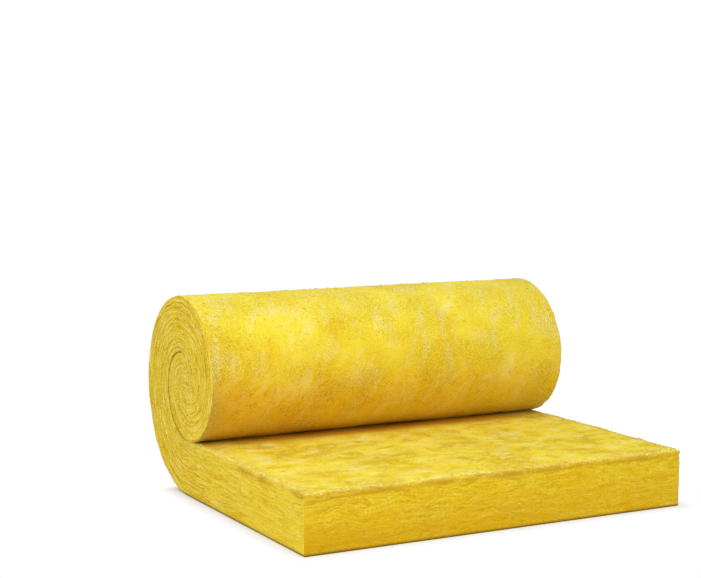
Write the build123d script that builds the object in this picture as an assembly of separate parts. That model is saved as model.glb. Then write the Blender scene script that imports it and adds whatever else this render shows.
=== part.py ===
from build123d import *

import os
from math import cos, radians, sin

# Glass wool insulation mat, part unrolled.
# A flat stretch lies on the floor. At the back it lifts off, winds forward over itself
# and comes down on the flat, so that the roll rests on its own mat.
# The wool is one felted piece, so it is one solid: its section, seen from the end of the
# roll, is drawn in the YZ plane and drawn out along X.

# Driving dimensions, in millimetres
mat_width = 1200.0  # along X, from one cut end of the roll to the other
mat_thickness = 165.0
flat_length = 775.0  # along Y, from the front cut to the nip where the roll meets the flat
seam_gap = 2.0  # air between one turn and the next
core_radius = 23.0  # the innermost quarter turn, where the mat is folded on itself
edge_radius = 5.0  # the knife leaves soft edges all round the cut faces

# The outer face is a chain of quarter turns, wound from the floor inwards.
# Each is one step tighter than the last and starts in line with it, so a full turn
# comes in by exactly one pitch and every turn lies parallel to the one outside it.
quarters_per_turn = 4
quarter_angle = 360 / quarters_per_turn
first_angle = -quarter_angle  # the first quarter starts at the lowest point of its circle
turns = 2
quarter_count = turns * quarters_per_turn
pitch = mat_thickness + seam_gap
step = pitch / quarters_per_turn
outer_radii = [core_radius + (quarter_count - 1 - k) * step for k in range(quarter_count)]

# The origin is on the floor, in the middle of the space that the mat takes up.
back_reach = outer_radii[0]
front_y = -(flat_length + back_reach) / 2
nip_y = front_y + flat_length


def quarter_centres():
    """Centres of the quarter turns: each is a step nearer to where the last one ended."""
    centre = Vector(nip_y, outer_radii[0])
    centres = []
    for k in range(quarter_count):
        centres.append(centre)
        end_angle = radians(first_angle + (k + 1) * quarter_angle)
        centre = centre + Vector(cos(end_angle), sin(end_angle)) * step
    return centres


def mat_section():
    """The mat seen from the end of the roll, with Y to the right and Z up."""
    centres = quarter_centres()
    start_angles = [first_angle + k * quarter_angle for k in range(quarter_count)]

    outer_face = [
        CenterArc(centres[k], outer_radii[k], start_angles[k], quarter_angle)
        for k in range(quarter_count)
    ]
    # Only the first turn has an inner face: inside it the mat is folded solid.
    inner_face = [
        CenterArc(centres[k], outer_radii[k] - mat_thickness, start_angles[k], quarter_angle)
        for k in range(quarters_per_turn)
    ]
    seam_end = Vector(nip_y, pitch + mat_thickness + seam_gap / 2)
    seam_tip = CenterArc(seam_end, seam_gap / 2, quarter_angle, -2 * quarter_angle)

    floor_line = Line((front_y, 0), (nip_y, 0))
    flat_top = Line((nip_y, mat_thickness), (front_y, mat_thickness))
    front_cut = Line((front_y, mat_thickness), (front_y, 0))
    return make_face(
        [floor_line, *outer_face, seam_tip, *reversed(inner_face), flat_top, front_cut]
    )


def rolled_mat():
    """The section drawn out to the mat's width, with its cut edges softened."""
    mat = extrude(Plane.YZ * mat_section(), amount=mat_width / 2, both=True)
    roll_ends = mat.faces().filter_by(Axis.X)
    front_face = mat.faces().sort_by(Axis.Y)[0]
    cut_edges = roll_ends.edges() + front_face.edges().filter_by(Axis.X)
    return fillet(cut_edges, edge_radius)


os.makedirs("parts", exist_ok=True)
export_step(rolled_mat(), "parts/glass_wool_mat.step")
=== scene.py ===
import math
import bmesh
import bpy
import numpy as np
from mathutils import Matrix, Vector, noise


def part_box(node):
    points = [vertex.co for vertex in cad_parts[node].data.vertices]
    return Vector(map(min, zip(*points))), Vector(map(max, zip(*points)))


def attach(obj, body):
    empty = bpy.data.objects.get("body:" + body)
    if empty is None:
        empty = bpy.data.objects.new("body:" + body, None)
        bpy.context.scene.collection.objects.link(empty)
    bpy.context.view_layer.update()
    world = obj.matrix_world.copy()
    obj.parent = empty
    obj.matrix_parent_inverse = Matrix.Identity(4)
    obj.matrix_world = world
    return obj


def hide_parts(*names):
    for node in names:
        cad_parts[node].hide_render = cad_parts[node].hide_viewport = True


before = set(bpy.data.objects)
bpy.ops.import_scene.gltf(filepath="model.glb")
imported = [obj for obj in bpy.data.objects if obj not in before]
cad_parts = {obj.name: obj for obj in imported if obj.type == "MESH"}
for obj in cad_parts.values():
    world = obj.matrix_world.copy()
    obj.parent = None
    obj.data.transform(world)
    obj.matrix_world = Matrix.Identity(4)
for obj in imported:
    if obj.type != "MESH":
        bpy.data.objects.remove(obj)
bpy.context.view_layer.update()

low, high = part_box("glass_wool_mat")
hair = 1e-6  # rounding, in metres or radians


def ink(code):  # sRGB hex to linear
    parts = [int(code[i:i + 2], 16) / 255 for i in (1, 3, 5)]
    return (*[c / 12.92 if c <= 0.04045 else ((c + 0.055) / 1.055) ** 2.4 for c in parts], 1.0)


def addNode(tree, kind, settings=None, links=None):  # a setting goes to the socket of that name, or to the node
    node = tree.nodes.new(kind)
    for name, value in (settings or {}).items():
        if isinstance(name, int) or name in node.inputs:
            node.inputs[name].default_value = value
        elif name == "stops":  # a colour ramp's
            while len(node.color_ramp.elements) < len(value):
                node.color_ramp.elements.new(0.5)
            for element, (place, colour) in zip(node.color_ramp.elements, value):
                element.position, element.color = place, colour
        else:
            setattr(node, name, value)
    for socket, source in (links or {}).items():
        tree.links.new(source, node.inputs[socket])
    return node


# The mat: one strip, flat on the floor at the front, wound up at the back
mat = {
    "thickness": 0.165, "seamGap": 0.002,
    "coreRadius": 0.023,  # tightest quarter turn, at the heart of the roll
    "columns": 120, "rows": 40,  # faces across the width and through the thickness
    "pace": 0.0098,  # length of a face along the mat
    "capRings": 18, "firstRing": 0.97,  # rings of faces close the heart at each end, the first a little inside it
    "lipBack": 0.003, "lipDown": 0.0015,  # how far the upper edges of the cut are rubbed back and down
    "lowBack": 0.0012,  # and how far back the lower edges are
    "rim": 0.004,  # the first row of points inside each cut edge, which keeps the edge crisp
    "heart": (0.020, 0.330), "heartDepth": 0.11,  # a point in the heart, from the nip and the floor, and its depth
    "fusedFrom": -30, "fusedBy": 35,  # degrees past the top of the roll where its seam closes up at the ends
    "gape": 0.0010, "gapeDeep": 0.06,  # before that, each side of the seam springs away, more towards the end
    "gapeTurns": (0, 20, 100, 185), "gapeShares": (0, 1, 1, 0.3),  # degrees up from the nip, how far open it is
    "wallIn": 0.0012, "wallOut": 0.0032,  # how near to the seam the points of its two walls lie
    "lipReach": 0.0036, "lipGap": 0.0002,  # the lips of the seam at each end, and what stays between closed ones
    "sink": 0.0055, "sinkHigh": 0.06, "sinkGap": 0.0003,  # the roll presses into the flat that it rests on
}
width = high.x - low.x
thickness = mat["thickness"]
pitch = thickness + mat["seamGap"]
step = pitch / 4  # each quarter turn is this much tighter than the one before
radii = [mat["coreRadius"] + (7 - k) * step for k in range(8)]
quarterLengths = [r * math.pi / 2 for r in radii]
frontY, nipY = low.y, high.y - radii[0]
flatLength = nipY - frontY
centres = [Vector((0, nipY, radii[0]))]
for k in range(7):
    turned = math.radians(90 * k)
    centres.append(centres[-1] + step * Vector((0, math.cos(turned), math.sin(turned))))
heart = Vector((0, nipY + mat["heart"][0], mat["heart"][1]))


def pick(kind, test):  # in edit mode, select only what passes
    bpy.ops.mesh.select_mode(type=kind)
    bpy.ops.mesh.select_all(action="DESELECT")
    bm = bmesh.from_edit_mesh(bpy.context.edit_object.data)
    for part in {"VERT": bm.verts, "EDGE": bm.edges}[kind]:
        if test(part):
            part.select_set(True)
    bmesh.update_edit_mesh(bpy.context.edit_object.data)


def near(a, b, slack=1e-5):
    return abs(a - b) < slack


def runsAcross(edge, slack=1e-4):  # along the width
    return abs(edge.verts[0].co.x - edge.verts[1].co.x) > slack


def windMat():
    bpy.ops.object.select_all(action="DESELECT")
    bpy.ops.mesh.primitive_grid_add(x_subdivisions=mat["columns"], y_subdivisions=mat["rows"], size=1,
                                    location=(0, frontY, thickness / 2), rotation=(math.pi / 2, 0, 0))
    piece = bpy.context.object
    piece.name = "woolMat"
    piece.scale = (width, thickness, 1)
    bpy.ops.object.transform_apply(location=True, rotation=True, scale=True)
    bpy.ops.object.mode_set(mode="EDIT")

    # rub the corners of the section back, so that every cut edge becomes a soft lip
    pick("VERT", lambda v: near(abs(v.co.x), width / 2) and near(v.co.z, thickness))
    bpy.ops.transform.resize(value=(1 - 2 * mat["lipBack"] / width, 1, 1), center_override=(0, 0, 0))
    bpy.ops.transform.translate(value=(0, 0, -mat["lipDown"]))
    pick("VERT", lambda v: near(abs(v.co.x), width / 2) and near(v.co.z, 0))
    bpy.ops.transform.resize(value=(1 - 2 * mat["lowBack"] / width, 1, 1), center_override=(0, 0, 0))
    column = width / mat["columns"]
    pick("VERT", lambda v: near(abs(v.co.x), width / 2 - column))
    bpy.ops.transform.resize(value=((width / 2 - mat["rim"]) / (width / 2 - column), 1, 1), center_override=(0, 0, 0))

    # run the section's outline along the flat, then round four quarter turns
    pick("EDGE", lambda e: e.is_boundary)
    bpy.ops.mesh.extrude_edges_move(TRANSFORM_OT_translate={"value": (0, mat["lipBack"] + mat["rim"], 0)})
    longRun = flatLength - mat["lipBack"] - mat["rim"]
    flatSteps = round(longRun / mat["pace"])
    bpy.ops.mesh.extrude_repeat(steps=flatSteps, offset=(0, longRun / flatSteps, 0))
    for k in range(4):
        bpy.ops.mesh.spin(steps=round(quarterLengths[k] / mat["pace"]), angle=math.pi / 2,
                          center=centres[k], axis=(-1, 0, 0))

    # the outer face winds on into the heart, where the tip of the seam is closed
    pick("EDGE", lambda e: e.is_boundary and runsAcross(e) and e.verts[0].co.z < heart.z / 2 + pitch / 2)
    for k in range(4, 8):
        bpy.ops.mesh.spin(steps=max(4, round(quarterLengths[k] / mat["pace"])), angle=math.pi / 2,
                          center=centres[k], axis=(-1, 0, 0))
    pick("EDGE", lambda e: e.is_boundary and runsAcross(e))
    bpy.ops.mesh.bridge_edge_loops()

    # both ends of the heart are closed by rings that shrink to a point
    for side in (-1, 1):
        pick("EDGE", lambda e: e.is_boundary and e.verts[0].co.x * side > 0)
        size = 1.0
        for ring in range(mat["capRings"]):
            nextSize = mat["firstRing"] * (1 - ring / mat["capRings"])
            bpy.ops.mesh.extrude_edges_move(TRANSFORM_OT_translate={"value": (0, 0, 0)})
            bpy.ops.transform.resize(value=(1, nextSize / size, nextSize / size), center_override=heart)
            bpy.ops.transform.resize(value=(0, 1, 1), center_override=(side * width / 2, 0, 0))
            size = nextSize
        bpy.ops.mesh.merge(type="COLLAPSE")

    # the front cut has the same soft lips
    pick("VERT", lambda v: near(v.co.y, frontY) and v.co.z > thickness - 1.5 * mat["lipDown"])
    bpy.ops.transform.translate(value=(0, mat["lipBack"], -mat["lipDown"]))
    pick("VERT", lambda v: near(v.co.y, frontY) and (abs(v.co.x) > width / 2 - 1e-4 or near(v.co.z, 0)))
    bpy.ops.transform.translate(value=(0, mat["lowBack"], 0))
    bpy.ops.mesh.select_all(action="SELECT")
    bpy.ops.mesh.normals_make_consistent(inside=False)
    bpy.ops.object.mode_set(mode="OBJECT")

    # extruding leaves the faces in no fixed order: sorted, they grow the same fibres on every run
    corners = [list(face.vertices) for face in piece.data.polygons]
    corners = sorted(c[c.index(min(c)):] + c[:c.index(min(c))] for c in corners)
    places = [tuple(v.co) for v in piece.data.vertices]
    piece.data.clear_geometry()
    piece.data.from_pydata(places, [], corners)
    bpy.ops.object.shade_smooth()
    return piece


woolMat = windMat()
print("mat wound:", len(woolMat.data.vertices), "points,", len(woolMat.data.polygons), "faces")


def roundTurn(k, y, z):  # how far round quarter turn k each point is, and how far from its centre
    dy, dz = y - centres[k].y, z - centres[k].z
    turned = np.mod(np.arctan2(dz, dy) - math.radians(90 * k - 90) + hair, 2 * math.pi)
    return turned, np.hypot(dy, dz), dy, dz


def stripPlaces(points):  # how far along the strip each point is, how deep from its outer face, how far into the heart
    y, z = points[:, 1], points[:, 2]
    along, depth = y - frontY, z.copy()
    placed = (y <= nipY + hair) & (z <= thickness + 1e-4)
    offTurn = 5e-4  # a point this near to a turn is on it
    start = flatLength
    for k in range(4):
        turned, reach, _, _ = roundTurn(k, y, z)
        inset = radii[k] - reach
        here = ~placed & (turned < math.pi / 2 + 2 * hair) & (inset > -offTurn) & (inset < thickness + offTurn)
        along[here] = (start + turned * radii[k])[here]
        depth[here] = inset[here]
        placed |= here
        start += quarterLengths[k]
    # in the heart, places run from the seam around it to its middle
    ring, ringAlong, ringDepth = [], [], []
    shares = np.linspace(0, 1, 24)  # places to a quarter turn
    for k in range(4, 8):
        for share in shares:
            angle = math.radians(90 * k - 90 + 90 * share)
            ring.append((centres[k].y + radii[k] * math.cos(angle), centres[k].z + radii[k] * math.sin(angle)))
            ringAlong.append(start + quarterLengths[k] * share)
            ringDepth.append(0)
        start += quarterLengths[k]
    for share in shares:  # the closed tip of the seam, where the count along the strip soon runs back
        ring.append((nipY, 2 * pitch - share * pitch))
        ringAlong.append(start - sum(quarterLengths[4:]) * min(1, 8 * share))
        ringDepth.append(thickness * (1 - share))
    ring, ringAlong, ringDepth = np.array(ring), np.array(ringAlong), np.array(ringDepth)
    ringTurn = np.unwrap(np.arctan2(ring[:, 1] - heart.z, ring[:, 0] - heart.y))
    ringReach = np.hypot(ring[:, 0] - heart.y, ring[:, 1] - heart.z)
    turn = np.arctan2(z - heart.z, y - heart.y)
    turn = ringTurn[0] + np.mod(turn - ringTurn[0], 2 * math.pi)
    out = np.clip(np.hypot(y - heart.y, z - heart.z) / np.interp(turn, ringTurn, ringReach), 0, 1)
    inHeart = ~placed
    along[inHeart] = np.interp(turn, ringTurn, ringAlong)[inHeart]
    depth[inHeart] = (np.interp(turn, ringTurn, ringDepth) * out + mat["heartDepth"] * (1 - out))[inHeart]
    return along, depth, inHeart, np.where(inHeart, 1 - out, 0)


def readArray(data, name, parts):
    values = np.zeros(len(data) * parts)
    data.foreach_get(name, values)
    return values.reshape(-1, parts) if parts > 1 else values


points = readArray(woolMat.data.vertices, "co", 3)
along, depth, inHeart, intoHeart = stripPlaces(points)
turnAt = np.zeros(len(points))  # how far the strip has turned by then
for k in range(8):
    turnAt += np.clip((along - flatLength - sum(quarterLengths[:k])) / radii[k], 0, math.pi / 2)
faceNormals = readArray(woolMat.data.polygons, "normal", 3)
faceCentres = readArray(woolMat.data.polygons, "center", 3)
isEnd = np.abs(faceNormals[:, 0]) > 0.5
isFront = (faceNormals[:, 1] < -0.5) & (faceCentres[:, 1] < frontY + 2 * mat["lipBack"])
faceKind = np.where(isEnd, 1, np.where(isFront, 2, 0))  # felted skin, end cut, front cut
print("faces of skin, ends and front:", *(int((faceKind == kind).sum()) for kind in (0, 1, 2)))

# Up to the top of the roll the seam gapes a little at both ends, and past it the turns are pressed together
wound = points.copy()
offEnd = width / 2 - np.abs(wound[:, 0])
for k in range(4):
    turned, reach, dy, dz = roundTurn(k, wound[:, 1], wound[:, 2])
    turned = np.degrees(turned)
    seamReach = radii[k + 4] + mat["seamGap"] / 2
    closed = np.clip((turned + 90 * (k - 2) - mat["fusedFrom"]) / (mat["fusedBy"] - mat["fusedFrom"]), 0, 1)
    walls = (turned < 90.01) & (reach > seamReach - mat["wallIn"]) & (reach < seamReach + mat["wallOut"])
    sprung = mat["gape"] * np.interp(turned + 90 * k, mat["gapeTurns"], mat["gapeShares"]) * (1 - closed)
    apart = sprung * np.clip(1 - offEnd / mat["gapeDeep"], 0, 1)
    lips = walls & (offEnd < mat["lipReach"])
    together = np.where(lips, closed, 0)
    side = np.sign(reach - seamReach)
    newReach = (reach + apart * side) * (1 - together) + (seamReach + mat["lipGap"] * side) * together
    points[walls, 1] = (centres[k].y + dy / reach * newReach)[walls]
    points[walls, 2] = (centres[k].z + dz / reach * newReach)[walls]
    points[lips, 0] = (wound[:, 0] + np.sign(wound[:, 0]) * offEnd * together)[lips]

# The roll sinks into the flat under its own weight, so that the nip is a crease and not a wedge of air
overFlat = points[:, 2] - thickness
rests = (inHeart | (turnAt > math.radians(270))) & (overFlat > 0)
pressed = mat["sink"] * np.clip(1 - overFlat / mat["sinkHigh"], 0, 1) ** 2
pressed = np.minimum(pressed, np.clip(overFlat - mat["sinkGap"], 0, None))
pressed *= np.clip(1 - (points[:, 1] - nipY) / mat["sinkHigh"], 0, 1)
points[rests, 2] -= pressed[rests]
woolMat.data.vertices.foreach_set("co", points.ravel())

# Layers of wool lie one on another through the thickness: the map runs along them and across them, and they wander
strata = {
    "sways": [(0.34, 0.11, 0.012), (0.12, 0.05, 0.005)],  # how long, how deep and how high each wandering is
    "apart": 3.7,  # steps of the noise between the ends and the front
    "reliefMap": (1.1, 0.085),  # the relief is stretched along the layers by these
}
loopTotals = readArray(woolMat.data.polygons, "loop_total", 1).astype(int)
loopFace = np.repeat(np.arange(len(woolMat.data.polygons)), loopTotals)
loopPoint = readArray(woolMat.data.loops, "vertex_index", 1).astype(int)
loopKind = faceKind[loopFace]
run = np.where(loopKind == 1, along[loopPoint], points[loopPoint, 0])
across = np.where(loopKind == 0, along[loopPoint], depth[loopPoint])
for i in np.nonzero(loopKind)[0]:
    for length, deep, height in strata["sways"]:
        across[i] += height * noise.noise((run[i] / length, across[i] / deep, strata["apart"] * loopKind[i]))
for name, runScale, acrossScale in (("layers", 1, 1), ("relief", *strata["reliefMap"])):
    uvMap = woolMat.data.uv_layers.new(name=name)
    uvMap.data.foreach_set("uv", np.stack([run / runScale, across / acrossScale], 1).ravel())

# Where the wool is torn, where its marks change, and where light and shade are painted on it: lengths in metres, turns
# in degrees
wear = {
    "offFloor": 0.02,  # relief fades out this near the floor
    "seamSide": 0.01,  # skin this near to the seam lies in it
    "onFace": 0.004,  # a point this near to a face of the mat is on it
    "rimFrom": 0.05, "rimBy": 0.10, "rimLeast": 0.2,  # the roll's own rim is cut cleaner than the flat's edges
    "frayTop": 0.014, "fraySkin": 0.008, "frayCut": 0.005,  # how far fraying reaches from an edge
    "fold": 0.019, "foldMore": 0.014, "foldReach": 0.09,  # a loose layer hangs at the front, deeper at its left corner
    "foldSoft": 0.004, "lipOff": 0.002, "lipSoft": 0.006,
    "edgeReach": 0.03, "flatFade": 0.06,  # how far back the front edge waves, and where the flat's streaks end
    "gapTurns": (0, 8, 60, 140, 175, 195), "gapShares": (0.3, 1, 0.8, 0.65, 0.25, 0),  # how strongly the painted shadow in the gap shows, by degrees up from the nip
    "gapPatch": 0.045, "gapEven": 0.90, "gapUneven": 0.80,  # which is more in some places
    "gapFrom": 0.004, "gapHeart": 0.4, "gapBroad": 0.002,
    "seamFrayAndHighlight": 0.9, "seamFrayAndHighlightOff": 0.010, "seamFrayAndHighlightBroad": 0.005,  # beside the gap stray fibres stand thicker, and the seam's lip gets a pale painted highlight
    "shadeUnderTurns": (236, 262, 284, 300, 318, 340), "shadeUnderShares": (0, 0.26, 0.66, 0.72, 0.56, 0.48),
    "shadeUnderAcross": (-0.5, -0.3, 0.1, 0.5), "shadeUnderLeft": (1.55, 1.22, 1.0, 0.68),  # the painted shade under the roll is stronger towards the left end
    "grainShadeTurns": (285, 320), "grainShadeShares": (1, 0.7),
    "grainShadeAcross": (-0.5, -0.25, 0.25, 0.5), "grainShadeLeft": (2.0, 1.25, 1.05, 0.45),
    "roughLeast": 0.20, "roughRim": 0.42, "roughReach": 0.09, "lowLeftBrownReach": 0.06,
    "topLightTurns": (120, 165, 200, 232), "topLightShares": (0, 1, 0.8, 0),  # painted highlight: the top of the roll is painted paler
    "nipReach": 0.075, "nipSoft": 0.05, "nipLess": 0.5,  # in the nip itself the shade is enough
    "nipShadowReach": 0.160, "nipShadowOff": 0.02, "nipShadowSoft": 0.05, "nipShadowEnds": 0.25,
    "nipShadowLeast": 0.35, "nipShadowMost": 0.95,  # the flat in front of the nip is shaded
    "cornerReach": 0.03,  # cut faces are plainer at a corner
    "heartSize": (0.075, 0.13), "heartBy": 1.4,  # the heart is mottled, within an oval
    "smearFrom": 0.30, "smearBy": 0.55,  # the flat's ends are smeared towards the front
    "lipDepth": 0.138, "lipDeep": 0.012, "lipFront": 0.7, "lipEnd": 0.75,  # painted shade: wool is painted darker in places under the lip
    # layers stand out less at corners, in the heart and at the seam
    "layerCorner": 0.012, "layerHeart": 0.65, "layerHeartBy": 0.5, "layerSeam": 0.02,
}
pointCut = np.zeros(len(points))
np.maximum.at(pointCut, loopPoint, (loopKind > 0).astype(float))
pointFront = np.zeros(len(points))
np.maximum.at(pointFront, loopPoint, (loopKind == 2).astype(float))
skinOnly = 1 - pointCut
nearSeam = (along > flatLength + wear["seamSide"]) & (depth > thickness - wear["seamSide"])
inSeam = (skinOnly > 0) & (inHeart | nearSeam)
offFloor = np.clip(points[:, 2] / wear["offFloor"], 0, 1)
bulge = np.where(inSeam, 0, offFloor)
endGap = width / 2 - np.abs(points[:, 0])
offLeft = points[:, 0] + width / 2
shareAcross = points[:, 0] / width
degreesAt = np.degrees(turnAt)

# torn edges, painted pale, partly for the fibres and partly as painted highlight where an edge catches the light; and
# the loose layer that hangs at the front
onFlat = np.clip(1 - (along - flatLength + wear["rimFrom"]) / wear["rimBy"], wear["rimLeast"], 1) * ~inHeart
onTop = (np.abs(depth - thickness) < wear["onFace"]) & (along < flatLength) & ~inHeart
skinFray = np.exp(-np.minimum(endGap, along) / np.where(onTop, wear["frayTop"], wear["fraySkin"]))
cutFray = np.exp(-np.abs(thickness - depth) / wear["frayCut"])
frayed = np.where(pointCut > 0, cutFray, skinFray) * onFlat
tornEdge = frayed.copy()
foldDepth = thickness - wear["fold"] - wear["foldMore"] * np.exp(-offLeft / wear["foldReach"])
topLip = pointFront * np.clip((points[:, 2] - foldDepth - wear["lipOff"]) / wear["lipSoft"], 0, 1)
underFold = pointFront * np.exp(-((points[:, 2] - foldDepth) / wear["foldSoft"]) ** 2)
topEdge = np.where(onTop, np.exp(-along / wear["edgeReach"]), 0)
flatTop = np.where(onTop & (pointCut == 0), np.clip((flatLength - along) / wear["flatFade"], 0, 1), 0)

# painted shadow in the seam's gap; beside it stray fibres stand thicker, under a pale painted highlight on the seam's
# lip
pastNip = np.degrees(np.where(inHeart, turnAt - 2 * math.pi, turnAt))
seamOpen = np.interp(pastNip, wear["gapTurns"], wear["gapShares"]) * (along > flatLength + wear["gapFrom"])
seamOpen *= [wear["gapEven"] + wear["gapUneven"] * noise.noise((float(a) / wear["gapPatch"], 8.1, 0)) for a in along]
seamOpen = np.clip(seamOpen, 0, 1)
offSeam = np.where(inHeart, depth, thickness - depth)
gapLine = seamOpen * np.where(inHeart, wear["gapHeart"], 1) * (offSeam < wear["gapBroad"])
gapLine = np.where(pointCut > 0, gapLine, 0)
besideGap = np.exp(-((offSeam - wear["seamFrayAndHighlightOff"]) / wear["seamFrayAndHighlightBroad"]) ** 2)
frayed = np.maximum(frayed, wear["seamFrayAndHighlight"] * pointCut * ~inHeart * seamOpen * besideGap)

# painted shade: the roll's underside is painted deeper amber, with stronger grain marks in place of relief shading, and
# browner towards its left end; painted highlight: its top is painted paler
outerTurn = (depth < wear["onFace"]) & ~inHeart & (along > flatLength)
under = np.where(outerTurn, np.interp(degreesAt, wear["shadeUnderTurns"], wear["shadeUnderShares"]), 0)
# painted shade: under the roll the dark and pale grain marks and the pits are painted stronger, in place of relief
# shading
rough = under * np.interp(shareAcross, wear["grainShadeAcross"], wear["grainShadeLeft"])
rough *= np.interp(degreesAt, wear["grainShadeTurns"], wear["grainShadeShares"])
# browner patches at the lower left of the roll, as strong as the painted shade there
dusty = under * np.exp(-offLeft / wear["lowLeftBrownReach"])
under *= np.interp(shareAcross, wear["shadeUnderAcross"], wear["shadeUnderLeft"])
# painted highlight: the top of the roll is painted paler
crown = np.where(outerTurn, np.interp(degreesAt, wear["topLightTurns"], wear["topLightShares"]), 0)
offNip = flatLength + sum(quarterLengths[:4]) - along
inNip = np.clip((wear["nipReach"] - np.abs(offNip)) / wear["nipSoft"], 0, 1)
under *= 1 - wear["nipLess"] * inNip
rough *= 1 - wear["nipLess"] * inNip
# the grain is also coarser near the left rim all round the roll, and a little everywhere on it
rimRough = wear["roughLeast"] + wear["roughRim"] * np.exp(-offLeft / wear["roughReach"])
rough = np.maximum(rough, outerTurn * rimRough)
# painted shadow: the roll's shadow is painted on the flat in front of the nip
toNip = flatLength - along
nipShadowNear = np.clip((wear["nipShadowReach"] - toNip) / wear["nipShadowSoft"], 0, 1)
nipShadowOff = np.clip((toNip - wear["nipShadowOff"]) / wear["nipShadowSoft"], wear["nipShadowLeast"], wear["nipShadowMost"])
crease = np.where(onTop, nipShadowNear * nipShadowOff, 0) * skinOnly
crease *= np.clip(endGap / wear["nipShadowEnds"], wear["nipShadowLeast"], 1)

# the cut faces
cornerOff = np.where(pointFront > 0, endGap, along)
corner = np.where(pointCut > 0, np.clip(cornerOff / wear["cornerReach"], 0, 1), 1)
heartWide, heartHigh = wear["heartSize"]
fromHeart = np.hypot((points[:, 1] - heart.y) / heartWide, (points[:, 2] - heart.z) / heartHigh)
mottled = np.clip(wear["heartBy"] - fromHeart, 0, 1) * (along > flatLength)
smeared = np.clip(1 - (along - wear["smearFrom"]) / wear["smearBy"], 0, 1) * (pointFront == 0) * ~inHeart
# painted shade below the top edge of the cuts, under the lip
lipShare = np.where(pointFront > 0, wear["lipFront"], wear["lipEnd"] * smeared)
underLip = np.clip((depth - wear["lipDepth"]) / wear["lipDeep"], 0, 1) * lipShare
layered = np.clip(cornerOff / wear["layerCorner"], 0, 1)
layered *= 1 - wear["layerHeart"] * np.clip(intoHeart / wear["layerHeartBy"], 0, 1)
layered *= np.where(along > flatLength, np.clip(offSeam / wear["layerSeam"], 0, 1), 1)

# Where loose fibres stand, how they lie and how far they stray from that
fibres = {
    "onSkin": 2400, "onCut": 3600, "onEdge": 20000,  # to a square metre
    "skinStray": math.pi, "cutStray": 0.35,  # radians
    "offFloor": 0.012, "nipShadowMost": 0.3, "nipClear": 0.06,  # none near the floor or in the nip
    "long": 0.018, "thick": 0.0009, "sections": 3, "taper": 0.5,
    "shapes": [(0.0012, 0.0020), (0.0016, -0.0030), (0.0010, 0.0006), (0.0022, 0.0040)],  # arch and curl of each
    "sizes": (0.5, 1.4),  # smallest and largest copy, of fibres and tufts alike
}
tufts = {
    "onEdge": 11000, "least": 0.15,  # to a square metre, where an edge is torn more than this
    "long": 0.010, "ragged": 0.0018, "flat": (1, 0.6, 0.25), "shapes": 4, "segments": 8, "rings": 5,
}
hidden = inSeam | (points[:, 2] < fibres["offFloor"]) | (crease > fibres["nipShadowMost"])
hidden |= outerTurn & (np.abs(offNip) < fibres["nipClear"])
crowd = np.where(pointCut > 0, fibres["onCut"], fibres["onSkin"]) + fibres["onEdge"] * frayed ** 2
tuftCrowd = tufts["onEdge"] * np.clip(tornEdge - tufts["least"], 0, 1)
cutStray = np.where(inHeart, math.pi, fibres["cutStray"])
lay = np.stack([np.zeros(len(points)), np.cos(turnAt), np.sin(turnAt)], 1)
lay[(pointFront > 0) | (pointCut == 0)] = (1, 0, 0)
for name, values in (
        ("frayed", frayed), ("mottled", mottled), ("smeared", smeared), ("seam", np.where(inSeam, 1.0, 0.0)),
        ("gapLine", gapLine), ("under", under), ("crease", crease), ("flatTop", flatTop), ("rough", rough),
        ("dusty", dusty), ("corner", corner), ("crown", crown), ("underLip", underLip),
        ("tuftCrowd", np.where(hidden, 0, tuftCrowd)), ("crowd", np.where(hidden, 0, crowd)),
        ("stray", np.where(pointCut > 0, cutStray, fibres["skinStray"]))):
    woolMat.data.attributes.new(name, "FLOAT", "POINT").data.foreach_set("value", values)
woolMat.data.attributes.new("lay", "FLOAT_VECTOR", "POINT").data.foreach_set("vector", lay.ravel())

relief = [  # name, size of the noise, height in metres, middle, group, direction, map
    ("softLumps", 0.13, 0.006, 0.5, "bulge", "NORMAL", None),
    ("feltedTufts", 0.030, 0.0028, 0.5, "bulge", "NORMAL", None),
    ("layerEdges", 0.25, 0.006, 0.5, "cut", "NORMAL", "relief"),
    ("hangingLip", 0.12, -0.009, 0.2, "topLip", "Y", "relief"),
    ("underFold", 0.30, 0.007, 0.2, "underFold", "Y", "relief"),
    ("wavyEdge", 0.09, 0.009, 0.5, "topEdge", "Z", None),
    ("creases", 0.45, 0.0036, 0.5, "flatTop", "NORMAL", "relief"),
]
for name, weights in (("bulge", bulge), ("cut", pointCut * offFloor * layered), ("topLip", topLip),
                      ("underFold", underFold), ("topEdge", topEdge), ("flatTop", flatTop)):
    group = woolMat.vertex_groups.new(name=name)
    for level in range(1, 11):  # weights in tenths
        members = np.nonzero(np.round(weights * 10) == level)[0]
        group.add([int(i) for i in members], level / 10, "REPLACE")
for name, size, height, middle, group, direction, uvMap in relief:
    texture = bpy.data.textures.new(name, "CLOUDS")
    texture.noise_basis, texture.noise_scale, texture.noise_depth = "IMPROVED_PERLIN", size, 2
    bpy.context.view_layer.objects.active = woolMat
    change = woolMat.modifiers.new(name, "DISPLACE")
    change.texture, change.strength, change.mid_level, change.vertex_group = texture, height, middle, group
    change.direction, change.texture_coords = direction, "UV" if uvMap else "LOCAL"
    if uvMap:
        change.uv_layer = uvMap
    bpy.ops.object.modifier_apply(modifier=name)
print("relief done:", len(relief), "kinds")


def newLook(name):
    look = bpy.data.materials.new(name)
    look.use_nodes = True
    look.node_tree.nodes.clear()
    return look, look.node_tree


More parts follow.
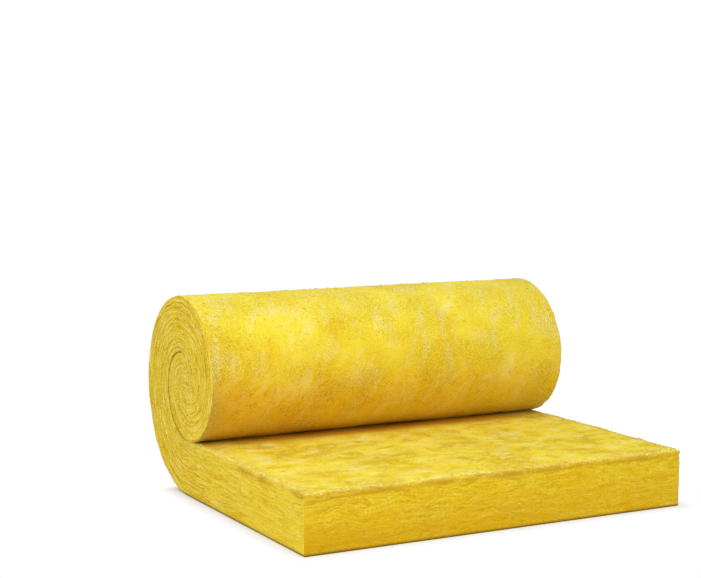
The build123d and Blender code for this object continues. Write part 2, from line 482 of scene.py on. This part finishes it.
def readWool(tree, sway, laid, even, marks):  # every pattern in the wool and every mark on the mat, by name
    place = addNode(tree, "ShaderNodeTexCoord").outputs["Object"]
    layers = addNode(tree, "ShaderNodeUVMap", {"uv_map": "layers"}).outputs["UV"]
    size, detail, reach = sway
    swirl = addNode(tree, "ShaderNodeTexNoise", {"Scale": 1 / size, "Detail": detail}, {"Vector": layers})
    centred = addNode(tree, "ShaderNodeVectorMath", {"operation": "SUBTRACT", 1: (0.5, 0.5, 0.5)},
                      {0: swirl.outputs["Color"]})
    swayed = addNode(tree, "ShaderNodeVectorMath", {"operation": "MULTIPLY_ADD", 1: (reach,) * 3},
                     {0: centred.outputs[0], 2: layers})
    seen = {"place": place, "layers": layers, "swayed": swayed.outputs[0]}
    for name, (length, breadth, turn, detail, roughness) in laid.items():
        stretched = addNode(tree, "ShaderNodeMapping", {"vector_type": "TEXTURE", "Scale": (length, breadth, 1),
                            "Rotation": (0, 0, math.radians(turn))}, {"Vector": seen["swayed"]})
        pattern = addNode(tree, "ShaderNodeTexNoise", {"Scale": 1.0, "Detail": detail, "Roughness": roughness},
                          {"Vector": stretched.outputs[0]})
        seen[name] = pattern.outputs["Fac"]
    for name, (size, detail, roughness, source) in even.items():
        pattern = addNode(tree, "ShaderNodeTexNoise", {"Scale": 1 / size, "Detail": detail, "Roughness": roughness},
                          {"Vector": seen[source]})
        seen[name] = pattern.outputs["Fac"]
    for name in marks:
        seen[name] = addNode(tree, "ShaderNodeAttribute", {"attribute_name": name}).outputs["Fac"]
    return seen


def weigh(tree, seen, lines, ranges, together):  # how much of each pattern shows, and where
    for name, source, middle in lines:  # how far a noise is from a value: where it crosses, a thin line shows
        off = addNode(tree, "ShaderNodeMath", {"operation": "SUBTRACT", 1: middle}, {0: seen[source]})
        seen[name] = addNode(tree, "ShaderNodeMath", {"operation": "ABSOLUTE"}, {0: off.outputs[0]}).outputs[0]
    for name, (source, settings) in ranges.items():
        seen[name] = addNode(tree, "ShaderNodeMapRange", settings, {"Value": seen[source]}).outputs[0]
    for name, how, one, other in together:
        seen[name] = addNode(tree, "ShaderNodeMath", {"operation": how}, {0: seen[one], 1: seen[other]}).outputs[0]


def woolShader(tree, seen, colour, coats, lineDip, bump):  # resin-bonded glass fibres: matt, with a trace of sheen
    for share, tone in coats:  # colours go on one over another, and pits darken what is under them
        blend = "MULTIPLY" if share == "pitHere" else "MIX"
        coat = addNode(tree, "ShaderNodeMix", {"data_type": "RGBA", "blend_type": blend, 7: ink(tone)},
                       {0: seen[share], 6: colour})
        colour = coat.outputs[2]
    sunk = addNode(tree, "ShaderNodeMath", {"operation": "MULTIPLY_ADD", 1: -lineDip},
                   {0: seen["lineHere"], 2: seen["grain"]})
    relief = addNode(tree, "ShaderNodeBump", {"Strength": 1.0, "Distance": bump}, {"Height": sunk.outputs[0]})
    shader = addNode(tree, "ShaderNodeBsdfPrincipled",
                     {"Roughness": 0.95, "Specular IOR Level": 0.03, "Sheen Weight": 0.015, "Sheen Roughness": 0.5},
                     {"Base Color": colour, "Normal": relief.outputs[0]})
    addNode(tree, "ShaderNodeOutputMaterial", links={"Surface": shader.outputs[0]})


# Felted skin of glass wool: fibres matted flat in sweeping strokes, cloudy, with pale wisps where they lie loose
skinLook = {
    "ground": ("#EAD034", "#EFDD3E", "#F0E04A"), "groundStops": (0.33, 0.50, 0.64),
    # painted highlight for the top of the roll; painted shade for the amber underneath, the shadow before the nip and
    # the seam's walls; the frayed tone is pale partly as painted highlight
    "crown": "#F8EC66", "amber": "#FABA14", "dusty": "#B08A4C", "brushDark": "#C4890C", "brushPale": "#E8C84C",
    "wisp": "#F1E6A0", "frayed": "#F3E680", "pit": "#CCB66C", "wrinkle": "#C89A16", "crease": "#D09608",
    # painted shade: the skin inside the seam is painted dark brown
    "seam": "#7A4E0A",
    "sweep": (0.17, 1, 0.09),  # fibres are laid in sweeps: size, detail and reach
    "laid": {  # patterns that follow the sweeps: length, breadth, turn in degrees, detail and roughness of the noise
        "strokes": (0.020, 0.0032, 38, 2, 0.6), "crossStrokes": (0.020, 0.0032, -52, 2, 0.6),
        "brush": (0.030, 0.0125, 118, 4, 0.65), "wisps": (0.105, 0.042, 115, 4, 0.58),
        "streaks": (0.080, 0.058, 0, 3, 0.55), "wrinkles": (0.095, 0.054, 6, 3, 0.5),
    },
    "even": {  # patterns that run every way: size, detail, roughness, and the map they lie on
        "patch": (0.09, 1, 0.5, "layers"), "stipple": (0.0042, 2, 0.75, "layers"),
        "cloud": (0.11, 5, 0.58, "place"), "coarse": (0.16, 2, 0.5, "place"),
    },
    "crossing": {"From Min": 0.42, "From Max": 0.58}, "stippleShare": 0.58,
    "lines": [("offWrinkle", "wrinkles", 0.5)],  # the flat has kept thin wrinkles from when it was rolled up
    "ranges": {  # what each is read from, where that starts and ends to show, and how much
        # painted highlight on the top of the roll
        "topLightShare": ("crown", {"To Max": 0.50}),
        # painted shade: amber under the roll; the flat's top gets a touch of amber too
        "amberShadeUnder": ("under", {"To Max": 0.72}),
        "amberFlat": ("flatTop", {"To Max": 0.06}),
        "brushDark": ("brush", {"From Min": 0.48, "From Max": 0.32, "To Max": 0.52}),
        "brushPale": ("brush", {"From Min": 0.54, "From Max": 0.70, "To Max": 0.52}),
        "lowLeftBrownPatch": ("brush", {"From Min": 0.36, "From Max": 0.60, "To Min": 0.5, "To Max": 1.1}),
        "wispy": ("wisps", {"From Min": 0.48, "From Max": 0.70, "To Max": 0.58}),
        "fewerWisps": ("dulled", {"To Min": 1, "To Max": 0.35}),
        "frayPatch": ("stipple", {"From Min": 0.3, "From Max": 0.6, "To Min": 0.35, "To Max": 1}),
        "pitted": ("grain", {"From Min": 0.36, "From Max": 0.60, "To Min": 0.66, "To Max": 0}),
        "coarser": ("coarse", {"From Min": 0.38, "From Max": 0.62, "To Min": 0.55, "To Max": 1.35}),
        "pitBoost": ("rough", {"To Min": 1, "To Max": 1.7}),
        "streakPale": ("streaks", {"From Min": 0.50, "From Max": 0.70, "To Max": 0.50}),
        "streakDeep": ("streaks", {"From Min": 0.46, "From Max": 0.30, "To Max": 0.60}),
        "wrinkleLine": ("offWrinkle", {"From Max": 0.05, "To Min": 1, "To Max": 0}),
        "wrinklePatch": ("coarse", {"From Min": 0.46, "From Max": 0.60, "To Max": 0.7}),
    },
    "bump": 0.0022, "lineDip": 0.5,
}


def feltedSkin():
    look, tree = newLook("feltedSkin")
    seen = readWool(tree, skinLook["sweep"], skinLook["laid"], skinLook["even"],
                    ("under", "crown", "flatTop", "rough", "dusty", "frayed", "crease", "seam"))
    # strokes turn from patch to patch, with a fine stipple over them
    side = addNode(tree, "ShaderNodeMapRange", skinLook["crossing"], {"Value": seen["patch"]})
    stroke = addNode(tree, "ShaderNodeMix", {"data_type": "FLOAT"},
                     {0: side.outputs[0], 2: seen["strokes"], 3: seen["crossStrokes"]})
    grain = addNode(tree, "ShaderNodeMix", {"data_type": "FLOAT", 0: skinLook["stippleShare"]},
                    {2: stroke.outputs[0], 3: seen["stipple"]})
    # pale wisps are fewer in the painted shade under the roll and on the flat's top
    dulled = addNode(tree, "ShaderNodeMath", {"operation": "MAXIMUM"}, {0: seen["under"], 1: seen["flatTop"]})
    seen.update(grain=grain.outputs[0], dulled=dulled.outputs[0])
    weigh(tree, seen, skinLook["lines"], skinLook["ranges"], (
        ("warmth", "MAXIMUM", "amberShadeUnder", "amberFlat"),
        ("darkHere", "MULTIPLY", "brushDark", "rough"), ("paleHere", "MULTIPLY", "brushPale", "rough"),
        ("lowLeftBrownHere", "MULTIPLY", "dusty", "lowLeftBrownPatch"), ("wispHere", "MULTIPLY", "wispy", "fewerWisps"),
        ("frayAndHighlightHere", "MULTIPLY", "frayed", "frayPatch"),
        ("pitThere", "MULTIPLY", "pitted", "coarser"), ("pitHere", "MULTIPLY", "pitThere", "pitBoost"),
        ("streakPaleHere", "MULTIPLY", "streakPale", "flatTop"),
        ("streakDeepHere", "MULTIPLY", "streakDeep", "flatTop"),
        ("lineThere", "MULTIPLY", "wrinkleLine", "wrinklePatch"), ("lineHere", "MULTIPLY", "lineThere", "flatTop")))
    stops = list(zip(skinLook["groundStops"], [ink(tone) for tone in skinLook["ground"]]))
    ground = addNode(tree, "ShaderNodeValToRGB", {"stops": stops}, {"Fac": seen["cloud"]})
    # among these, painted light and shade: the top's highlight, the amber under the roll, pale frayed edges in part,
    # the shadow before the nip and the dark seam walls
    coats = [(share, skinLook[tone]) for share, tone in (
        ("topLightShare", "crown"), ("warmth", "amber"), ("darkHere", "brushDark"), ("paleHere", "brushPale"),
        ("lowLeftBrownHere", "dusty"), ("wispHere", "wisp"), ("frayAndHighlightHere", "frayed"), ("pitHere", "pit"),
        ("streakPaleHere", "wisp"), ("streakDeepHere", "wrinkle"), ("lineHere", "wrinkle"),
        ("crease", "crease"), ("seam", "seam"))]
    woolShader(tree, seen, ground.outputs[0], coats, skinLook["lineDip"], skinLook["bump"])
    return look


# Cut wool: the knife opens the layers, so the edge of each layer shows as a fine wavy line among cut fibre ends
cutLook = {
    "front": {"dark": "#B88208", "deep": "#DAAE10", "lemon": "#E5C830", "pale": "#ECDA66",
              # pressed: how much darker orange the front is painted towards its lower edge, and how dark the loose
              # layer's line at its left corner is
              "stops": (0.30, 0.42, 0.56, 0.68), "stipple": 0.24, "lines": 0.55, "dots": 0.3, "pressed": 0.55,
              "lineLow": 0.5, "sway": (0.075, 2, 0.050), "patchy": 0.15,
              "thread": (0.034, 0.0024, 0, 2, 0.5), "threads": 0.58},
    "end": {"dark": "#C08C10", "deep": "#E3BE26", "lemon": "#F0D43C", "pale": "#F6E88A",
            "stops": (0.365, 0.455, 0.535, 0.62), "stipple": 0.24, "lines": 0.55, "dots": 0.6, "pressed": 0.0,
            "lineLow": 1.0, "sway": (0.050, 2, 0.014), "patchy": 0.05,
            "thread": (0.060, 0.0038, 0, 2, 0.5), "threads": 0.45},
    "laid": {"layer": (0.16, 0.0068, 0, 2, 0.5), "fold": (0.24, 0.015, 0, 2, 0.5)},  # as the skin's
    "even": {"speckle": (0.0060, 3, 0.65, "place"), "patch": (0.09, 3, 0.5, "place")},  # speckle: cut ends of fibres
    "heartStipple": 0.57, "smear": 0.55, "plainCorner": 0.8, "plainGrain": 0.52,
    "darkOrange": "#C89606", "outerBandFrom": 0.03, "outerBandBy": 0.11,  # the front is painted darker orange towards its outer face, its lower edge, and more at its left; below its top lip this colour is painted shade
    "darkOrangeLeft": 1.25, "darkOrangeRight": 0.5,
    "cornerFold": (0.131, 0.0022, 0.22),  # a loose layer at the front's left corner: height, half breadth and length
    "dotLine": 0.55,  # the layer's noise there, where cut ends catch the light as pale dots
    "contactShade": "#2E2206", "contactShadeHigh": 0.009, "contactShadeShare": 0.9,  # painted shade: the lower edge of each cut is painted dark where it meets the floor
    "bump": 0.0014, "lineDip": 0.35,
}


def cutWool(name, cut):
    look, tree = newLook(name)
    seen = readWool(tree, cut["sway"], {**cutLook["laid"], "thread": cut["thread"]}, cutLook["even"],
                    ("mottled", "smeared", "corner", "underLip", "frayed", "gapLine"))
    for key, source, axis in (("across", "layers", "X"), ("deep", "layers", "Y"), ("wavyDeep", "swayed", "Y"),
                              ("height", "place", "Z")):
        seen[key] = addNode(tree, "ShaderNodeSeparateXYZ", links={0: seen[source]}).outputs[axis]
    foldHigh, foldHalf, foldLong = cutLook["cornerFold"]
    inward = {"From Min": cutLook["outerBandFrom"], "From Max": cutLook["outerBandBy"]}
    lines = (("offLoose", "fold", 0.5), ("offCorner", "wavyDeep", foldHigh), ("offEdge", "layer", cutLook["dotLine"]))
    ranges = {
        "fibreEnds": ("speckle", {"From Min": 0.2, "From Max": 0.8, "To Min": -0.05, "To Max": 1.05}),
        "stippled": ("mottled", {"To Min": cut["stipple"], "To Max": cutLook["heartStipple"]}),
        "layered": ("mottled", {"To Min": 1, "To Max": 0}),
        "smear": ("smeared", {"To Max": cutLook["smear"]}),
        "plain": ("corner", {"To Min": cutLook["plainCorner"], "To Max": 0}),
        "loose": ("deep", {**inward, "To Min": cut["lineLow"]}),
        "darkOrange": ("deep", {**inward, "To Min": cut["pressed"], "To Max": 0}),
        "leftward": ("across", {"From Min": -width / 2, "From Max": width / 2, "To Min": cutLook["darkOrangeLeft"],
                                "To Max": cutLook["darkOrangeRight"]}),
        "lipPatch": ("patch", {"From Min": 0.44, "From Max": 0.58}),
        "looseLine": ("offLoose", {"From Max": 0.03, "To Min": 1, "To Max": 0}),
        "linePatch": ("patch", {"From Min": 0.40, "From Max": 0.56, "To Max": cut["lines"]}),
        "cornerLine": ("offCorner", {"From Max": foldHalf, "To Min": cut["pressed"], "To Max": 0}),
        "cornerFade": ("across", {"From Min": -width / 2, "From Max": foldLong - width / 2, "To Min": 1, "To Max": 0}),
        "edgeLine": ("offEdge", {"From Max": 0.035, "To Min": 1, "To Max": 0}),
        "dots": ("fibreEnds", {"From Min": 0.48, "From Max": 0.60, "To Max": cut["dots"]}),
        "contactShade": ("height", {"From Max": cutLook["contactShadeHigh"], "To Min": cutLook["contactShadeShare"], "To Max": 0}),
    }
    weigh(tree, seen, lines, ranges, (
        ("calm", "MAXIMUM", "smear", "plain"),
        ("darkOrangeLow", "MULTIPLY", "darkOrange", "leftward"), ("lipShadeHere", "MULTIPLY", "underLip", "lipPatch"),
        ("darkOrangeHere", "MAXIMUM", "darkOrangeLow", "lipShadeHere"),
        ("lineThere", "MULTIPLY", "looseLine", "linePatch"), ("lineOpen", "MULTIPLY", "lineThere", "layered"),
        ("lineFree", "MULTIPLY", "lineOpen", "loose"), ("cornerHere", "MULTIPLY", "cornerLine", "cornerFade"),
        ("lineHere", "MAXIMUM", "lineFree", "cornerHere"),
        ("dotThere", "MULTIPLY", "edgeLine", "dots"), ("dotHere", "MULTIPLY", "dotThere", "corner"),
        ("frayAndHighlightHere", "MULTIPLY", "frayed", "fibreEnds")))
    # the grain: layers and finer threads, speckled with cut ends, and calmer where the cut is smeared
    threads = addNode(tree, "ShaderNodeMix", {"data_type": "FLOAT", 0: cut["threads"]},
                      {2: seen["layer"], 3: seen["thread"]})
    grain = addNode(tree, "ShaderNodeMix", {"data_type": "FLOAT"},
                    {0: seen["stippled"], 2: threads.outputs[0], 3: seen["fibreEnds"]})
    tinted = addNode(tree, "ShaderNodeMix", {"data_type": "FLOAT", 0: cut["patchy"]},
                     {2: grain.outputs[0], 3: seen["patch"]})
    calmed = addNode(tree, "ShaderNodeMix", {"data_type": "FLOAT", 3: cutLook["plainGrain"]},
                     {0: seen["calm"], 2: tinted.outputs[0]})
    seen["grain"] = grain.outputs[0]
    stops = list(zip(cut["stops"], [ink(cut[tone]) for tone in ("dark", "deep", "lemon", "pale")]))
    ground = addNode(tree, "ShaderNodeValToRGB", {"stops": stops}, {"Fac": calmed.outputs[0]})
    # painted shade under the top lip, painted shadow in the seam's gap and painted shade along the floor; the front
    # darker orange towards its lower edge; pale frayed edges partly as painted highlight
    coats = (("darkOrangeHere", cutLook["darkOrange"]), ("lineHere", cut["dark"]), ("dotHere", cut["pale"]),
             ("frayAndHighlightHere", skinLook["frayed"]), ("gapLine", skinLook["seam"]), ("contactShade", cutLook["contactShade"]))
    woolShader(tree, seen, ground.outputs[0], coats, cutLook["lineDip"], cutLook["bump"])
    return look


for look in (feltedSkin(), cutWool("sawnEnd", cutLook["end"]), cutWool("knifeCutFront", cutLook["front"])):
    woolMat.data.materials.append(look)
woolMat.data.polygons.foreach_set("material_index", faceKind)
woolMat.data.update()
print("wool coloured")


def fibreShape(arch, curl):  # one loose fibre along X, drawn some hundred times thicker than a real one, to show
    bpy.ops.object.select_all(action="DESELECT")
    bpy.ops.mesh.primitive_cylinder_add(vertices=3, radius=fibres["thick"] / 2, depth=fibres["long"],
                                        rotation=(0, math.pi / 2, 0))
    shape = bpy.context.object
    bpy.ops.object.transform_apply(location=False, rotation=True, scale=False)
    bpy.ops.object.mode_set(mode="EDIT")
    pick("EDGE", runsAcross)
    bpy.ops.mesh.subdivide(number_cuts=fibres["sections"] - 1)
    half = fibres["long"] / 2
    for i in range(fibres["sections"] + 1):
        x = half * (2 * i / fibres["sections"] - 1)
        pick("VERT", lambda v: near(v.co.x, x, 1e-4))
        bend = 1 - (x / half) ** 2
        aside, up = curl * (bend - 0.5), arch * bend - fibres["thick"]
        bpy.ops.transform.translate(value=(0, aside, up))
        if i in (0, fibres["sections"]):
            bpy.ops.transform.resize(value=(1, fibres["taper"], fibres["taper"]), center_override=(x, aside, up))
    bpy.ops.object.mode_set(mode="OBJECT")
    bpy.ops.object.shade_smooth()
    return shape


def tuftShape(seed):  # a torn-off scrap of wool, flat and ragged
    bpy.ops.object.select_all(action="DESELECT")
    bpy.ops.mesh.primitive_uv_sphere_add(segments=tufts["segments"], ring_count=tufts["rings"],
                                         radius=tufts["long"] / 2, rotation=(0, math.pi / 2, 0))
    shape = bpy.context.object
    bpy.ops.object.transform_apply(location=False, rotation=True, scale=False)
    bpy.ops.object.mode_set(mode="EDIT")
    bpy.ops.mesh.select_all(action="SELECT")
    bpy.ops.transform.vertex_random(offset=tufts["ragged"], uniform=1.0, normal=0.0, seed=seed)
    bpy.ops.transform.resize(value=tufts["flat"])
    bpy.ops.object.mode_set(mode="OBJECT")
    bpy.ops.object.shade_smooth()
    return shape


def scatter(name, patterns, crowdName, faceTest, seed, look):  # copies of the patterns lie all over the faces that pass
    kit = bpy.data.collections.new(name)
    for shape in patterns:
        kit.objects.link(shape)
    bpy.ops.object.select_all(action="DESELECT")
    woolMat.select_set(True)
    bpy.context.view_layer.objects.active = woolMat
    bpy.ops.object.duplicate()
    piece = bpy.context.object
    piece.name = name
    tree = bpy.data.node_groups.new(name, "GeometryNodeTree")
    for way in ("INPUT", "OUTPUT"):
        tree.interface.new_socket("Geometry", in_out=way, socket_type="NodeSocketGeometry")
    given = addNode(tree, "NodeGroupInput")
    crowd, stray, lay = (
        addNode(tree, "GeometryNodeInputNamedAttribute", {"data_type": kind, "Name": key}).outputs[0]
        for kind, key in (("FLOAT", crowdName), ("FLOAT", "stray"), ("FLOAT_VECTOR", "lay")))
    kind = addNode(tree, "GeometryNodeInputMaterialIndex")
    passes = addNode(tree, "FunctionNodeCompare", {"data_type": "INT", "operation": faceTest, "B": 0},
                     {"A": kind.outputs[0]})
    spots = addNode(tree, "GeometryNodeDistributePointsOnFaces", {"Seed": seed},
                    {"Mesh": given.outputs[0], "Selection": passes.outputs[0], "Density": crowd})
    upright = addNode(tree, "FunctionNodeAlignRotationToVector", {"axis": "Z"}, {"Vector": spots.outputs["Normal"]})
    along = addNode(tree, "FunctionNodeAlignRotationToVector", {"axis": "X", "pivot_axis": "Z"},
                    {"Rotation": upright.outputs[0], "Vector": lay})
    chance = addNode(tree, "FunctionNodeRandomValue", {"Min": -1.0, "Max": 1.0, "Seed": seed + 1})
    angle = addNode(tree, "ShaderNodeMath", {"operation": "MULTIPLY"}, {0: chance.outputs["Value"], 1: stray})
    spin = addNode(tree, "FunctionNodeAxisAngleToRotation", {"Axis": (0, 0, 1)}, {"Angle": angle.outputs[0]})
    turned = addNode(tree, "FunctionNodeRotateRotation", {"rotation_space": "LOCAL"},
                     {"Rotation": along.outputs[0], "Rotate By": spin.outputs[0]})
    smallest, largest = fibres["sizes"]
    size = addNode(tree, "FunctionNodeRandomValue", {"Min": smallest, "Max": largest, "Seed": seed + 2})
    shapes = addNode(tree, "GeometryNodeCollectionInfo", {"Collection": kit, "Separate Children": True})
    placed = addNode(tree, "GeometryNodeInstanceOnPoints", {"Pick Instance": True},
                     {"Points": spots.outputs["Points"], "Instance": shapes.outputs[0],
                      "Rotation": turned.outputs[0], "Scale": size.outputs["Value"]})
    solid = addNode(tree, "GeometryNodeRealizeInstances", links={"Geometry": placed.outputs[0]})
    addNode(tree, "NodeGroupOutput", links={0: solid.outputs[0]})
    piece.modifiers.new("scatter", "NODES").node_group = tree
    bpy.ops.object.modifier_apply(modifier="scatter")
    piece.data.materials.clear()
    piece.data.materials.append(look)
    for layer in list(piece.data.attributes):
        if layer.name in matMarks:
            piece.data.attributes.remove(layer)
    for shape in patterns:
        kit.objects.unlink(shape)
    bpy.data.collections.remove(kit)
    print(name, len(piece.data.polygons), "faces")
    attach(piece, "root")


# Loose glass fibre: the same yellow, paler where it has come off its mat and light comes through it
fibreLook = {
    "skin": ("#E4C02A", "#ECD340", "#F0E07A"), "cut": ("#D8B020", "#E3C232", "#EAD45C"),
    "tuft": ("#DDBE3C", "#E9D254", "#F0E080"), "stops": (0.35, 0.50, 0.65), "patch": 0.03,
}


def looseFibre(name, tones):
    look, tree = newLook(name)
    place = addNode(tree, "ShaderNodeTexCoord").outputs["Object"]
    tuft = addNode(tree, "ShaderNodeTexNoise", {"Scale": 1 / fibreLook["patch"], "Detail": 2}, {"Vector": place})
    stops = list(zip(fibreLook["stops"], [ink(tone) for tone in tones]))
    colour = addNode(tree, "ShaderNodeValToRGB", {"stops": stops}, {"Fac": tuft.outputs["Fac"]})
    shader = addNode(tree, "ShaderNodeBsdfPrincipled", {"Roughness": 0.9, "Specular IOR Level": 0.05},
                     {"Base Color": colour.outputs[0]})
    addNode(tree, "ShaderNodeOutputMaterial", links={"Surface": shader.outputs[0]})
    return look


matMarks = [layer.name for layer in woolMat.data.attributes if layer.domain == "POINT" and layer.name != "position"]
fibreGlass = {kind: looseFibre(kind + "Fibre", fibreLook[kind]) for kind in ("skin", "cut", "tuft")}
fibrePatterns = [fibreShape(arch, curl) for arch, curl in fibres["shapes"]]
tuftPatterns = [tuftShape(seed) for seed in range(tufts["shapes"])]
scatter("skinFibres", fibrePatterns, "crowd", "EQUAL", 11, fibreGlass["skin"])
scatter("cutFibres", fibrePatterns, "crowd", "NOT_EQUAL", 23, fibreGlass["cut"])
scatter("edgeTufts", tuftPatterns, "tuftCrowd", "GREATER_EQUAL", 37, fibreGlass["tuft"])
for shape in fibrePatterns + tuftPatterns:
    bpy.data.objects.remove(shape)

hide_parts("glass_wool_mat")
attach(woolMat, "root")

# Floor, light and camera
studio = {
    "lens": 82.598, "sensor": 36,
    "cameraAt": (-2.3626, -4.3459, 1.0809),  # y counts from the nip
    "azimuth": -27.951, "elevation": 5.713,
    "air": 0.60,  # even light from all round
    "lampAt": (-0.9, -1.5, 2.7), "lampAim": (0, 0, 0.3), "lampSize": (4.0, 3.0), "lampWatts": 76,
    "floorSize": 60, "floor": "#F6F6F4",
    "floorGlow": 0.15, "floorGrey": 0.70,  # beside the mat the camera sees the floor with the shadow on it
    "lifted": 0.10, "whiteBy": 0.045,  # up to here past the nip, and this far off the mat; past that the floor is white
}


def directView(tree):  # 1 for what the camera sees, straight, in a mirror or through glass
    ray = addNode(tree, "ShaderNodeLightPath")
    mirrored = addNode(tree, "ShaderNodeMath", {"operation": "MAXIMUM"},
                       {0: ray.outputs["Is Glossy Ray"], 1: ray.outputs["Is Transmission Ray"]})
    inView = addNode(tree, "ShaderNodeMath", {"operation": "MAXIMUM"},
                     {0: ray.outputs["Is Camera Ray"], 1: mirrored.outputs[0]})
    return inView.outputs[0]


bpy.ops.mesh.primitive_plane_add(size=studio["floorSize"], location=(0, 0, 0))
floor = bpy.context.object
floor.name = "floor"
floorPaint, tree = newLook("floorPaint")
pale = addNode(tree, "ShaderNodeBsdfDiffuse", {"Color": ink(studio["floor"])})
shaded = addNode(tree, "ShaderNodeBsdfDiffuse", {"Color": (studio["floorGrey"],) * 3 + (1,)})
glow = addNode(tree, "ShaderNodeEmission", {"Color": (1, 1, 1, 1), "Strength": studio["floorGlow"]})
nearby = addNode(tree, "ShaderNodeAddShader", links={0: shaded.outputs[0], 1: glow.outputs[0]})
white = addNode(tree, "ShaderNodeEmission", {"Color": (1, 1, 1, 1), "Strength": 1.0})
spot = addNode(tree, "ShaderNodeTexCoord").outputs["Object"]
restEnd = nipY + studio["lifted"]  # the mat rests on the floor from its front cut to here
restMiddle, restHalf = (0, (frontY + restEnd) / 2, 0), (width / 2, (restEnd - frontY) / 2, 0)
fromRest = addNode(tree, "ShaderNodeVectorMath", {"operation": "SUBTRACT", 1: restMiddle}, {0: spot})
folded = addNode(tree, "ShaderNodeVectorMath", {"operation": "ABSOLUTE"}, {0: fromRest.outputs[0]})
beyond = addNode(tree, "ShaderNodeVectorMath", {"operation": "SUBTRACT", 1: restHalf}, {0: folded.outputs[0]})
outside = addNode(tree, "ShaderNodeVectorMath", {"operation": "MAXIMUM", 1: (0, 0, 0)}, {0: beyond.outputs[0]})
reach = addNode(tree, "ShaderNodeVectorMath", {"operation": "LENGTH"}, {0: outside.outputs[0]})
far = addNode(tree, "ShaderNodeMapRange", {"From Max": studio["whiteBy"]}, {"Value": reach.outputs["Value"]})
looks = addNode(tree, "ShaderNodeMixShader", links={0: far.outputs[0], 1: nearby.outputs[0], 2: white.outputs[0]})
both = addNode(tree, "ShaderNodeMixShader", links={0: directView(tree), 1: pale.outputs[0], 2: looks.outputs[0]})
addNode(tree, "ShaderNodeOutputMaterial", links={"Surface": both.outputs[0]})
floor.data.materials.append(floorPaint)

world = bpy.data.worlds.new("studioAir")
bpy.context.scene.world = world
world.use_nodes = True
tree = world.node_tree
tree.nodes.clear()
strength = addNode(tree, "ShaderNodeMix", {"data_type": "FLOAT", 2: studio["air"], 3: 1.0}, {0: directView(tree)})
sky = addNode(tree, "ShaderNodeBackground", {"Color": (1, 1, 1, 1)}, {"Strength": strength.outputs[0]})
addNode(tree, "ShaderNodeOutputWorld", links={"Surface": sky.outputs[0]})

bpy.ops.object.light_add(type="AREA", location=studio["lampAt"])
lamp = bpy.context.object
lamp.data.shape = "RECTANGLE"
lamp.data.size, lamp.data.size_y = studio["lampSize"]
lamp.data.energy = studio["lampWatts"]
lamp.rotation_euler = (Vector(studio["lampAim"]) - lamp.location).to_track_quat("-Z", "Y").to_euler()

bpy.ops.object.camera_add()
camera = bpy.context.object
camera.data.lens = studio["lens"]
camera.data.sensor_width = studio["sensor"]
a, e = math.radians(studio["azimuth"]), math.radians(studio["elevation"])
back = Vector((math.sin(a) * math.cos(e), -math.cos(a) * math.cos(e), math.sin(e)))
camera.location = Vector(studio["cameraAt"]) + Vector((0, nipY, 0))
camera.rotation_euler = (-back).to_track_quat("-Z", "Y").to_euler()
bpy.context.scene.camera = camera
bpy.context.scene.view_settings.view_transform = "Standard"
print("studio set")
